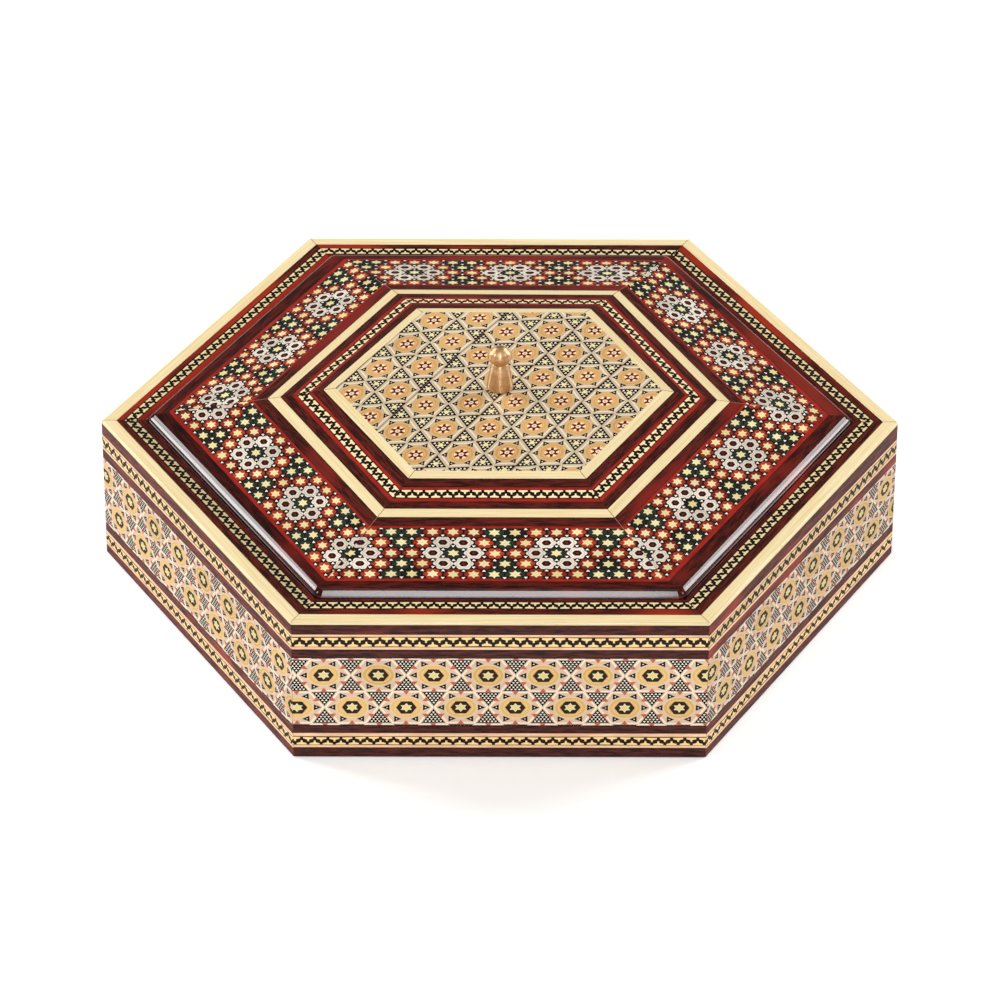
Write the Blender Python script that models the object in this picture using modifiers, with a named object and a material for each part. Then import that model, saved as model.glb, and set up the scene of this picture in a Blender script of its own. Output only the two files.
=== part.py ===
"""A six-sided inlaid candy dish with a lift-off lid and a turned brass knob.

Metres, +Z up. The origin is the middle of the underside, two corners lie on the X axis,
and one wall, the front, faces -Y. Six mitred wall boards stand round a floor board. A pale
edging strip is let into the outer top edge of each wall. The lid drops into a rebate inside
the rim. It is a shallow six-sided dome, dished underneath, with a rounded edge.
"""

import math

import bmesh
import bpy
from mathutils import Matrix, Vector

# Overall sizes
ACROSS_CORNERS = 0.300
BOX_HEIGHT = 0.0606

# Wall boards
WALL_THICKNESS = 0.0175
RIM_WIDTH = 0.0146
LEDGE_DEPTH = 0.0052
BASE_CHAMFER = 0.0008

# Edging strips on the rim
EDGING_WIDTH = 0.0048
EDGING_THICKNESS = 0.0012
EDGING_ROUND = 0.0009

# Floor board, let into a rabbet round the foot of the walls
FLOOR_THICKNESS = 0.006
FLOOR_RABBET = 0.006

# Lid
MEDALLION_APOTHEM = 0.0535
MEDALLION_RISE = 0.01395
MEDALLION_CROWN = 0.001
LID_EDGE_RISE = 0.00226
LID_EDGE_ROUND = 0.0033
LID_THICKNESS = 0.008
LID_SEAT_WIDTH = 0.010

# Knob
KNOB_BALL_RADIUS = 0.0045
KNOB_BALL_HALF_HEIGHT = 0.0039
KNOB_NECK_RADIUS = 0.00275
KNOB_NECK_HEIGHT = 0.01117
KNOB_SKIRT_RADIUS = 0.00505
KNOB_SKIRT_ROUND = 0.001
KNOB_FLARE_POWER = 0.63

# Gap between pieces that touch
JOINT_GAP = 0.0003

# Smoothness of the rounded forms
EDGING_ROUND_STEPS = 4
LID_ROUND_STEPS = 7
KNOB_TURN_STEPS = 36
KNOB_BALL_STEPS = 14
KNOB_SKIRT_STEPS = 9
KNOB_ROUND_STEPS = 4

SIDES = 6
HALF_CORNER = math.pi / SIDES
MERGE_DISTANCE = 0.00001

# Worked out from the sizes above
APOTHEM = ACROSS_CORNERS / 2 * math.cos(HALF_CORNER)
WALL_INSIDE = APOTHEM - WALL_THICKNESS
REBATE_INSIDE = APOTHEM - RIM_WIDTH
LEDGE_HEIGHT = BOX_HEIGHT - LEDGE_DEPTH
FLOOR_APOTHEM = WALL_INSIDE + FLOOR_RABBET - JOINT_GAP
LID_APOTHEM = REBATE_INSIDE - JOINT_GAP
LID_FOOT = LEDGE_HEIGHT + JOINT_GAP
MEDALLION_HEIGHT = BOX_HEIGHT + MEDALLION_RISE
KNOB_SEAT = MEDALLION_HEIGHT + MEDALLION_CROWN + JOINT_GAP

SIDE_DIRECTIONS = {
    "front": -90,
    "front_right": -30,
    "back_right": 30,
    "back": 90,
    "back_left": 150,
    "front_left": 210,
}


def clear_scene():
    """Remove every object, so the model starts from an empty scene."""
    for item in list(bpy.data.objects):
        bpy.data.objects.remove(item, do_unlink=True)


def make_collection(name):
    """Add a collection to the scene and return it."""
    collection = bpy.data.collections.new(name)
    bpy.context.scene.collection.children.link(collection)
    return collection


def make_material(name, colour, roughness, metallic):
    """Make a plain material with one Principled shader."""
    material = bpy.data.materials.new(name)
    material.use_nodes = True
    shader = material.node_tree.nodes["Principled BSDF"]
    shader.inputs["Base Color"].default_value = (*colour, 1.0)
    shader.inputs["Roughness"].default_value = roughness
    shader.inputs["Metallic"].default_value = metallic
    material.diffuse_color = (*colour, 1.0)
    return material


def arc_points(centre, radii, start, end, steps):
    """Points of an ellipse's arc, from angle start to angle end in radians."""
    points = []
    for step in range(steps + 1):
        angle = start + (end - start) * step / steps
        points.append((centre[0] + radii[0] * math.cos(angle), centre[1] + radii[1] * math.sin(angle)))
    return points


def wall_outline():
    """Section of a wall board: distance from the middle of the dish, then height."""
    notch_floor = BOX_HEIGHT - EDGING_THICKNESS - JOINT_GAP
    notch_side = APOTHEM - EDGING_WIDTH - JOINT_GAP
    rabbet_side = WALL_INSIDE + FLOOR_RABBET
    rabbet_top = FLOOR_THICKNESS + JOINT_GAP
    return [
        (APOTHEM - BASE_CHAMFER, 0.0),
        (APOTHEM, BASE_CHAMFER),
        (APOTHEM, notch_floor),
        (notch_side, notch_floor),
        (notch_side, BOX_HEIGHT),
        (REBATE_INSIDE, BOX_HEIGHT),
        (REBATE_INSIDE, LEDGE_HEIGHT),
        (WALL_INSIDE, LEDGE_HEIGHT),
        (WALL_INSIDE, rabbet_top),
        (rabbet_side, rabbet_top),
        (rabbet_side, 0.0),
    ]


def edging_outline():
    """Section of an edging strip, with its outer top edge rounded."""
    under = BOX_HEIGHT - EDGING_THICKNESS
    centre = (APOTHEM - EDGING_ROUND, BOX_HEIGHT - EDGING_ROUND)
    corner = arc_points(centre, (EDGING_ROUND, EDGING_ROUND), 0.0, math.pi / 2, EDGING_ROUND_STEPS)
    return [
        (APOTHEM, under),
        *corner,
        (APOTHEM - EDGING_WIDTH, BOX_HEIGHT),
        (APOTHEM - EDGING_WIDTH, under),
    ]


def filled_mesh(name, outline, half_length):
    """Extrude a flat outline both ways along Y and return it as a welded mesh.

    The outline's first number becomes X and its second becomes Z.
    """
    curve = bpy.data.curves.new(name, "CURVE")
    curve.dimensions = "2D"
    curve.fill_mode = "BOTH"
    curve.extrude = half_length
    spline = curve.splines.new("POLY")
    spline.points.add(len(outline) - 1)
    for point, (across, height) in zip(spline.points, outline):
        point.co = (across, height, 0.0, 1.0)
    spline.use_cyclic_u = True
    guide = bpy.data.objects.new(name + "_outline", curve)
    bpy.context.scene.collection.objects.link(guide)
    bpy.context.view_layer.update()
    solid = guide.evaluated_get(bpy.context.evaluated_depsgraph_get())
    mesh = bpy.data.meshes.new_from_object(solid)
    mesh.name = name
    bpy.data.objects.remove(guide, do_unlink=True)
    mesh.transform(Matrix.Rotation(math.pi / 2, 4, "X"))
    return mesh


def cut_mitres(mesh):
    """Cut both ends of a bar on the planes through the dish's corners, less half a gap."""
    shape = bmesh.new()
    shape.from_mesh(mesh)
    bmesh.ops.remove_doubles(shape, verts=shape.verts, dist=MERGE_DISTANCE)
    for side in (-1, 1):
        outward = Vector((-math.sin(HALF_CORNER), side * math.cos(HALF_CORNER), 0.0))
        everything = shape.verts[:] + shape.edges[:] + shape.faces[:]
        cut = bmesh.ops.bisect_plane(
            shape,
            geom=everything,
            plane_co=outward * -JOINT_GAP / 2,
            plane_no=outward,
            clear_outer=True,
        )
        rim = [item for item in cut["geom_cut"] if isinstance(item, bmesh.types.BMEdge)]
        bmesh.ops.edgeloop_fill(shape, edges=rim)
    bmesh.ops.recalc_face_normals(shape, faces=shape.faces)
    shape.to_mesh(mesh)
    shape.free()


def add_bars(prefix, outline, material, collection):
    """Make one mitred bar and set a copy of it on each of the six sides."""
    mesh = filled_mesh(prefix + "_bar", outline, ACROSS_CORNERS / 2)
    cut_mitres(mesh)
    mesh.materials.clear()
    mesh.materials.append(material)
    for side, degrees in SIDE_DIRECTIONS.items():
        bar = bpy.data.objects.new(prefix + "_" + side, mesh)
        bar.rotation_euler.z = math.radians(degrees)
        collection.objects.link(bar)


def add_turned(name, outline, steps, material, collection):
    """Turn an outline of (radius, height) round the Z axis in the given number of steps.

    The outline runs from the axis at the top, down the outer side, to the axis below.
    """
    mesh = bpy.data.meshes.new(name)
    shape = bmesh.new()
    points = [shape.verts.new((radius, 0.0, height)) for radius, height in outline]
    for first, second in zip(points, points[1:]):
        shape.edges.new((first, second))
    shape.to_mesh(mesh)
    shape.free()
    mesh.materials.append(material)
    turned = bpy.data.objects.new(name, mesh)
    collection.objects.link(turned)
    screw = turned.modifiers.new("turning", "SCREW")
    screw.axis = "Z"
    screw.angle = math.tau
    screw.steps = steps
    screw.render_steps = steps
    screw.use_merge_vertices = True
    screw.merge_threshold = MERGE_DISTANCE
    return turned


def as_corner_radii(outline):
    """Change distances to the middle of a side into distances to a corner."""
    return [(across / math.cos(HALF_CORNER), height) for across, height in outline]


def floor_outline():
    """Half section of the floor board."""
    return [
        (0.0, FLOOR_THICKNESS),
        (FLOOR_APOTHEM, FLOOR_THICKNESS),
        (FLOOR_APOTHEM, 0.0),
        (0.0, 0.0),
    ]


def lid_outline():
    """Half section of the lid, from the crown down over the rounded edge and back inside.

    The slope is the straight line from the medallion's border to the edge, and the rounding
    touches both that line and the upright side. The inside keeps parallel to the slope.
    """
    run = LID_APOTHEM - MEDALLION_APOTHEM
    fall = MEDALLION_RISE - LID_EDGE_RISE
    slope = math.atan2(fall, run)
    centre_across = LID_APOTHEM - LID_EDGE_ROUND
    slope_there = MEDALLION_HEIGHT - math.tan(slope) * (centre_across - MEDALLION_APOTHEM)
    centre = (centre_across, slope_there - LID_EDGE_ROUND / math.cos(slope))
    radii = (LID_EDGE_ROUND, LID_EDGE_ROUND)
    edge = arc_points(centre, radii, math.pi / 2 - slope, 0.0, LID_ROUND_STEPS)
    seat_inside = LID_APOTHEM - LID_SEAT_WIDTH
    drop = LID_THICKNESS / math.cos(slope)
    under_seat = MEDALLION_HEIGHT - math.tan(slope) * (seat_inside - MEDALLION_APOTHEM) - drop
    return [
        (0.0, MEDALLION_HEIGHT + MEDALLION_CROWN),
        (MEDALLION_APOTHEM, MEDALLION_HEIGHT),
        *edge,
        (LID_APOTHEM, LID_FOOT),
        (seat_inside, LID_FOOT),
        (seat_inside, under_seat),
        (MEDALLION_APOTHEM, MEDALLION_HEIGHT - drop),
        (0.0, MEDALLION_HEIGHT - drop),
    ]


def knob_outline():
    """Half section of the knob: a flattened ball over a flaring skirt with a rounded foot.

    The skirt widens quickly under the neck and then runs nearly straight down to the foot.
    """
    neck_share = KNOB_NECK_RADIUS / KNOB_BALL_RADIUS
    neck_angle = -math.acos(neck_share)
    neck_drop = KNOB_BALL_HALF_HEIGHT * math.sin(-neck_angle)
    neck = KNOB_SEAT + KNOB_NECK_HEIGHT
    centre = (0.0, neck + neck_drop)
    radii = (KNOB_BALL_RADIUS, KNOB_BALL_HALF_HEIGHT)
    ball = arc_points(centre, radii, math.pi / 2, neck_angle, KNOB_BALL_STEPS)
    ball[0] = (0.0, ball[0][1])
    round_top = KNOB_SEAT + KNOB_SKIRT_ROUND
    skirt = []
    for step in range(1, KNOB_SKIRT_STEPS):
        share = step / KNOB_SKIRT_STEPS
        flare = share ** KNOB_FLARE_POWER
        radius = KNOB_NECK_RADIUS + (KNOB_SKIRT_RADIUS - KNOB_NECK_RADIUS) * flare
        skirt.append((radius, neck + (round_top - neck) * share))
    foot_centre = (KNOB_SKIRT_RADIUS - KNOB_SKIRT_ROUND, round_top)
    foot_radii = (KNOB_SKIRT_ROUND, KNOB_SKIRT_ROUND)
    foot = arc_points(foot_centre, foot_radii, 0.0, -math.pi / 2, KNOB_ROUND_STEPS)
    return [*ball, *skirt, *foot, (0.0, KNOB_SEAT)]


def main():
    clear_scene()
    dish = make_collection("candy_dish")

    walnut = make_material("inlaid_walnut", (0.17, 0.06, 0.04), 0.25, 0.0)
    bone = make_material("pale_edging", (0.80, 0.66, 0.38), 0.3, 0.0)
    board = make_material("plain_board", (0.20, 0.10, 0.06), 0.4, 0.0)
    inlay = make_material("inlaid_lid", (0.30, 0.07, 0.05), 0.2, 0.0)
    brass = make_material("brass", (0.72, 0.52, 0.30), 0.3, 1.0)

    add_bars("wall", wall_outline(), walnut, dish)
    add_bars("edging", edging_outline(), bone, dish)
    add_turned("floor_board", as_corner_radii(floor_outline()), SIDES, board, dish)
    add_turned("lid", as_corner_radii(lid_outline()), SIDES, inlay, dish)
    knob = add_turned("knob", knob_outline(), KNOB_TURN_STEPS, brass, dish)
    for face in knob.data.polygons:
        face.use_smooth = True


main()
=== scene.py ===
"""Looks of a six-sided candy dish covered in inlay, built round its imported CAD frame.

Lengths are metres. Each side of the hexagon has its own flat frame: 'along' runs along the side from
its middle, 'reach' is the distance from the dish's axis straight out to the side, and 'up' is height.
The inlay is worked out in the materials, from the along and reach (or height) that each mesh carries
in its 'inlay' UV map. Its 'sheet' UV map carries the side's number, and the along that the same point
would have on a true hexagon, which tells how near it is to the mitre.
"""
from math import acos, atan2, cos, pi, radians, sin, sqrt, tan

import bmesh
import bpy
import numpy as np
from mathutils import Matrix, Vector


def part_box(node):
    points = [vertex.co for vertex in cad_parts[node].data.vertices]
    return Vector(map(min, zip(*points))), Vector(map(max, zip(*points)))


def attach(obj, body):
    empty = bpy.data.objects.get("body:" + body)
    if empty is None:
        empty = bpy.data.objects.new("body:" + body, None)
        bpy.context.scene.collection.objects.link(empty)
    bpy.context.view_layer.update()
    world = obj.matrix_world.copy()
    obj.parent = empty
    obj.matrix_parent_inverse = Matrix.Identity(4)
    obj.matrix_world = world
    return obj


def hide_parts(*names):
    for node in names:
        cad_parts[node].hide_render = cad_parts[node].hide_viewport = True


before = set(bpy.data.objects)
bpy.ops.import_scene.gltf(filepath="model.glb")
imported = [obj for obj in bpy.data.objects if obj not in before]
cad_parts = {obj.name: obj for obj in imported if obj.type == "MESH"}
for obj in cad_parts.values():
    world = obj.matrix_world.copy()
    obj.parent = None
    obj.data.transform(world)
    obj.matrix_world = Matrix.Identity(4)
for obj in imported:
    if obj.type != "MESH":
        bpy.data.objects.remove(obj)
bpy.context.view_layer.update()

MM = 0.001
ROOT3 = sqrt(3)

# The six sides, in the order that their numbers run
SIDES = ("front", "front_right", "back_right", "back", "back_left", "front_left")
FRONT_BEARING = -90
HALF_TURN = radians(30)

# Walls, from the CAD nodes' own boxes
WALL_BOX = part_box("wall_front")
EDGING_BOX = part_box("edging_front")
FLOOR_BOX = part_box("floor_board")
LID_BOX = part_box("lid")
KNOB_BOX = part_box("knob")
OUTER_REACH = -WALL_BOX[0].y
INNER_REACH = -WALL_BOX[1].y
RIM_HEIGHT = WALL_BOX[1].z
FLOOR_THICKNESS = FLOOR_BOX[1].z
RABBET_REACH = -FLOOR_BOX[0].y + 0.3 * MM
EDGING_REACH = -EDGING_BOX[1].y - 0.1 * MM
EDGING_UNDERSIDE = EDGING_BOX[0].z
LID_REACH = -LID_BOX[0].y
REBATE_REACH = LID_REACH + 0.3 * MM
LEDGE_HEIGHT = LID_BOX[0].z - 0.3 * MM
MITRE_GAP = 0.05 * MM
ARRIS_ROUND = 0.6 * MM
EDGING_ROUND = 0.9 * MM
RIM_ROUND = 0.35 * MM
BASE_ROUND = 0.8 * MM
FINE_ROUND = 0.08 * MM
SHARP_ANGLE = radians(35)

# Lid
MEDALLION_REACH = 53.5 * MM
MEDALLION_HEIGHT = 74.55 * MM
LID_CROWN = 1.0 * MM
LID_EDGE_HEIGHT = 62.86 * MM
LID_EDGE_ROUND = 3.3 * MM
LID_CORNER_ROUND = 3.2 * MM
LID_ROUNDING_START = 104 * MM
LID_THICKNESS = 8.0 * MM
LID_SEAT_WIDTH = 10.0 * MM
CREASE = 0.25 * MM

# Knob
BALL_RADIUS = 4.5 * MM
BALL_HALF_HEIGHT = 3.9 * MM
NECK_RADIUS = 2.75 * MM
NECK_HEIGHT = 11.17 * MM
SKIRT_RADIUS = 5.05 * MM
SKIRT_FOOT = 1.0 * MM
FLARE_POWER = 0.63


def side_frame(side):
    """The outward and along directions of a side, as two plan vectors."""
    bearing = radians(FRONT_BEARING + 60 * side)
    return np.array([cos(bearing), sin(bearing)]), np.array([-sin(bearing), cos(bearing)])


def arc(centre, radius, start, end, steps):
    """Points on a circle from one angle in degrees to another, as rows of (reach, height)."""
    angles = np.radians(np.linspace(start, end, steps))
    return np.stack([centre[0] + radius * np.cos(angles), centre[1] + radius * np.sin(angles)], 1)


def stations(flat_count, arc_count):
    """Marks from one end of a side to the other. 'run' is -1 to 1 over the straight stretch and 'turn' is
    the angle turned in the rounded corner past it, up to the 30 degrees where the next side takes over."""
    run = np.linspace(-1, 1, flat_count)
    turn = np.linspace(0, HALF_TURN, arc_count)[1:]
    runs = np.concatenate([np.full(arc_count - 1, -1.0), run, np.full(arc_count - 1, 1.0)])
    turns = np.concatenate([-turn[::-1], np.zeros(flat_count), turn])
    return runs, turns


def side_surface(profile, rounding, gap, flat_count=9, arc_count=5):
    """A profile of (reach, up) rows carried along one side, mitred at both ends.

    along = run * (reach tan 30 - gap - rounding tan 30) + rounding sin(turn)
    reach = reach - rounding (1 - cos(turn))
    Returns the along, reach and up arrays, one row for each point of the profile."""
    runs, turns = stations(flat_count, arc_count)
    reach = profile[:, :1]
    rounding = np.asarray(rounding).reshape(-1, 1)
    straight = (reach - rounding) * tan(HALF_TURN) - gap
    along = runs * straight + rounding * np.sin(turns)
    reached = reach - rounding * (1 - np.cos(turns))
    up = np.repeat(profile[:, 1:], len(runs), axis=1)
    return along, reached, up


def side_points(side, along, reach, up):
    """Places in the dish's frame of points given in a side's own frame."""
    outward, sideways = side_frame(side)
    plan = reach[..., None] * outward + along[..., None] * sideways
    return np.concatenate([plan, up[..., None]], -1)


def grid_quads(rows, columns, closed_rows=False):
    """Corner numbers of the faces of a grid whose points are numbered row by row."""
    starts = np.arange(rows if closed_rows else rows - 1)
    row, column = np.meshgrid(starts, np.arange(columns - 1), indexing="ij")
    after = (row + 1) % rows
    corners = [row * columns + column, row * columns + column + 1,
               after * columns + column + 1, after * columns + column]
    return np.stack(corners, -1).reshape(-1, 4)


def new_piece(name, points, faces, finishes, face_finish=None, uv=None, sheet=None):
    """An object from arrays: points (n, 3), faces (m, 4) or lists, its materials, which one each face has,
    and for each face corner its place on the inlay and its side's number. Doubles are merged, the faces
    turned outwards and the edges that are sharper than SHARP_ANGLE kept crisp."""
    mesh = bpy.data.meshes.new(name)
    mesh.from_pydata(points.tolist(), [], [list(face) for face in faces])
    if uv is not None:
        inlay = mesh.uv_layers.new(name="inlay")
        inlay.data.foreach_set("uv", np.asarray(uv, np.float32).ravel())
        marks = mesh.uv_layers.new(name="sheet")
        marks.data.foreach_set("uv", np.asarray(sheet, np.float32).ravel())
    if face_finish is not None:
        mesh.polygons.foreach_set("material_index", np.asarray(face_finish, np.int32))
    for finish in finishes:
        mesh.materials.append(finish)
    work = bmesh.new()
    work.from_mesh(mesh)
    bmesh.ops.remove_doubles(work, verts=work.verts, dist=0.004 * MM)
    bmesh.ops.dissolve_degenerate(work, edges=work.edges, dist=0.001 * MM)
    bmesh.ops.recalc_face_normals(work, faces=work.faces)
    for edge in work.edges:
        edge.smooth = not edge.is_manifold or edge.calc_face_angle() < SHARP_ANGLE
    work.to_mesh(mesh)
    work.free()
    mesh.shade_smooth()
    piece = bpy.data.objects.new(name, mesh)
    bpy.context.scene.collection.objects.link(piece)
    piece.modifiers.new("flat_faces_stay_flat", "WEIGHTED_NORMAL").keep_sharp = True
    return piece


class Value:
    """A number that varies over a surface: a socket on which + - * and / add Math nodes."""

    def __init__(self, finish, socket):
        self.finish = finish
        self.socket = socket

    def __add__(self, other):
        return maths("ADD", self, other)

    __radd__ = __add__

    def __sub__(self, other):
        return maths("SUBTRACT", self, other)

    def __rsub__(self, other):
        return maths("SUBTRACT", other, self)

    def __mul__(self, other):
        return maths("MULTIPLY", self, other)

    __rmul__ = __mul__

    def __truediv__(self, other):
        return maths("DIVIDE", self, other)

    def __neg__(self):
        return maths("MULTIPLY", self, -1.0)


class Finish:
    """A material and its Principled shader. Settings that are the same all over go on the shader itself."""

    def __init__(self, name, **settings):
        self.material = bpy.data.materials.new(name)
        self.material.use_nodes = True
        self.tree = self.material.node_tree
        self.shader = self.tree.nodes["Principled BSDF"]
        for label, setting in settings.items():
            self.shader.inputs[label.replace("_", " ")].default_value = setting

    def node(self, kind, settings, inputs, output=0):
        """Adds a node: its type, its settings, and the values or links of its sockets."""
        made = self.tree.nodes.new(kind)
        for label, setting in settings.items():
            setattr(made, label, setting)
        for label, value in inputs.items():
            self.join(value, made.inputs[label])
        return Value(self, made.outputs[output])

    def join(self, value, socket):
        if isinstance(value, Value):
            self.tree.links.new(value.socket, socket)
        else:
            socket.default_value = value

    def wear(self, **inputs):
        """Joins what varies over the surface to the shader."""
        for label, value in inputs.items():
            self.join(value, self.shader.inputs[label.replace("_", " ")])
        return self.material

    def place(self, map_name):
        """The two numbers of a UV map."""
        read = self.node("ShaderNodeUVMap", {"uv_map": map_name}, {})
        return self.split(read)[:2]

    def split(self, vector):
        return [self.node("ShaderNodeSeparateXYZ", {}, {0: vector}, axis) for axis in range(3)]

    def vector(self, x, y, z=0.0):
        return self.node("ShaderNodeCombineXYZ", {}, {0: x, 1: y, 2: z})

    def noise(self, vector, scale, detail=2.0, roughness=0.5):
        """Soft noise, about 0.2 to 0.8."""
        return self.node("ShaderNodeTexNoise", {}, {
            "Vector": vector, "Scale": scale, "Detail": detail, "Roughness": roughness})

    def chance(self, vector):
        """A number from 0 to 1 that is the same wherever the vector is."""
        return self.node("ShaderNodeTexWhiteNoise", {"noise_dimensions": "3D"}, {"Vector": vector})

    def bump(self, height, distance, strength=1.0):
        return self.node("ShaderNodeBump", {}, {
            "Height": height, "Distance": distance, "Strength": strength})


def maths(operation, *terms):
    """One Math node on values or numbers."""
    finish = next(term.finish for term in terms if isinstance(term, Value))
    return finish.node("ShaderNodeMath", {"operation": operation}, dict(enumerate(terms)))


def fold(operation, terms):
    result = terms[0]
    for term in terms[1:]:
        result = maths(operation, result, term)
    return result


def least(*terms):
    return fold("MINIMUM", terms)


def most(*terms):
    return fold("MAXIMUM", terms)


def size(value):
    return maths("ABSOLUTE", value)


def part(value):
    return maths("FRACT", value)


def nearest(value):
    return maths("FLOOR", value + 0.5)


def over(value, limit):
    """1 where the first is greater than the second, otherwise 0."""
    return maths("GREATER_THAN", value, limit)


def between(value, low, high):
    return over(value, low) * over(high, value)


def choose(mask, chosen, otherwise):
    return otherwise + (chosen - otherwise) * mask


def ramp(value, low, high):
    """0 below low, 1 above high, and a soft climb between them."""
    return value.finish.node("ShaderNodeMapRange", {"interpolation_type": "SMOOTHSTEP"}, {
        "Value": value, "From Min": low, "From Max": high})


def tint(red, green, blue):
    """A shader colour from the 0 to 255 numbers that a screen shows."""
    screen = np.array([red, green, blue]) / 255
    light = np.where(screen <= 0.04045, screen / 12.92, ((screen + 0.055) / 1.055) ** 2.4)
    return (*light.tolist(), 1.0)


def paint(under, top, mask):
    """The top colour where the mask is 1, over the colour under it."""
    return mask.finish.node("ShaderNodeMix", {"data_type": "RGBA"}, {0: mask, 6: under, 7: top}, 2)


def shade(colour, strength):
    """A colour made darker or brighter by a number."""
    return colour.finish.node("ShaderNodeVectorMath", {"operation": "SCALE"}, {0: colour, 3: strength})


def by_side(sheet, values):
    """The value of the side whose number the sheet map holds."""
    result = 0.0 * sheet + values[0]
    for side in range(1, 6):
        result = result + over(sheet, side - 0.5) * (values[side] - values[side - 1])
    return result


def lattice_cell(along, rows):
    """Where a point lies in its cell of a hexagonal lattice of inlay rods.

    along is in spacings and rows in row pitches, and every other row is moved half a spacing. Of the
    two nearest candidates, one in the even rows and one in the odd rows, the nearer one is the cell's
    middle. Returns the place from the middle, in spacings, and the cell's column and row."""
    even_column = nearest(along)
    even_row = nearest(rows / 2) * 2
    odd_column = nearest(along - 0.5) + 0.5
    odd_row = nearest((rows - 1) / 2) * 2 + 1
    even_x = along - even_column
    even_y = (rows - even_row) * (ROOT3 / 2)
    odd_x = along - odd_column
    odd_y = (rows - odd_row) * (ROOT3 / 2)
    odd = over(even_x * even_x + even_y * even_y, odd_x * odd_x + odd_y * odd_y)
    return (choose(odd, odd_x, even_x), choose(odd, odd_y, even_y),
            choose(odd, odd_column, even_column), choose(odd, odd_row, even_row))


def reaches(first, second):
    """How far a point lies along six ways, 60 degrees apart, the first number's way among them.

    The three projections first, -first/2 +- second root 3 / 2 add up to nothing. The larger of their
    highest and their negated lowest is a hexagon's measure, and the smaller is a six-point star's."""
    left = first * -0.5 + second * (ROOT3 / 2)
    right = first * -0.5 - second * (ROOT3 / 2)
    forward = most(first, left, right)
    backward = -least(first, left, right)
    return most(forward, backward), least(forward, backward)


def from_spot(far, near, distance):
    """The three triangle measures round a spot that lies the distance out along the nearest way."""
    return far - distance, distance / 2 - near, distance / 2 + near - far


def rod_triangles(measures, unit, shift=0.0):
    """Which of the two kinds of unit triangle a point is in, and how far inside it, up to a third. The
    shift, in thirds, moves the triangles' edges off the spot that the measures start from."""
    heights = [part(measure / (unit * ROOT3 / 2) + shift) for measure in measures]
    kind = over(heights[0] + heights[1] + heights[2], 1.5)
    opposite = [1 - height for height in heights]
    return kind, choose(kind, least(*opposite), least(*heights))


CORNER = 1 / ROOT3
INLAY_BLACK = tint(24, 17, 15)
GLUE_LINE = tint(30, 16, 12)
BONE_WHITE = tint(250, 246, 234)


def star_inlay(along, rows, sheet):
    """Stars on red and dark green, with a ring of six white hexagons round every fifth middle star."""
    x, y, column, row = lattice_cell(along, rows)
    tip_far, tip_near = reaches(y, x)
    side_far, side_near = reaches(x, y)
    finish = along.finish
    luck = finish.chance(finish.vector(column, row, sheet))
    other_luck = finish.chance(finish.vector(row, sheet, column))
    from_rosette = column - nearest(column / 5) * 5
    steps = size(row) + most(size(from_rosette) - size(row) / 2, 0.0)
    ring = between(steps, 0.5, 1.5)
    red = between(steps, 1.5, 2.5)
    ground = over(0.462, side_far) * over(0.485, tip_far)
    green_wood = paint(tint(27, 31, 24), tint(46, 56, 42), luck)
    red_wood = paint(tint(126, 34, 22), tint(172, 62, 38), other_luck)
    red_wood = paint(red_wood, tint(96, 26, 18), over(tip_far, 0.4))
    cream = paint(tint(232, 210, 148), tint(240, 226, 176), luck)
    bone = paint(tint(224, 210, 192), tint(238, 226, 210), other_luck)
    colour = paint(INLAY_BLACK, green_wood, ground)
    colour = paint(colour, red_wood, ground * red)
    colour = paint(colour, cream, over(0.158, tip_near))
    colour = paint(colour, tint(224, 212, 140), over(0.045, side_far))
    colour = paint(colour, bone, ring * over(0.445, tip_far))
    colour = paint(colour, tint(172, 158, 142), ring * between(tip_far, 0.325, 0.35))
    colour = paint(colour, BONE_WHITE, ring * between(tip_far, 0.2, 0.29) * over(0.125, tip_near))
    colour = paint(colour, tint(44, 17, 14), ring * over(0.215, tip_far) * over(0.23, side_far))
    colour = paint(colour, tint(98, 36, 26), ring * over(0.06, tip_near))
    towards = most(*from_spot(tip_far, tip_near, CORNER))
    colour = paint(colour, INLAY_BLACK, over(0.13, towards) * (1 - ring * over(0.41, tip_far)))
    colour = paint(colour, BONE_WHITE, over(0.056, towards))
    return shade(colour, 0.83 + 0.19 * other_luck)


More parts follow.
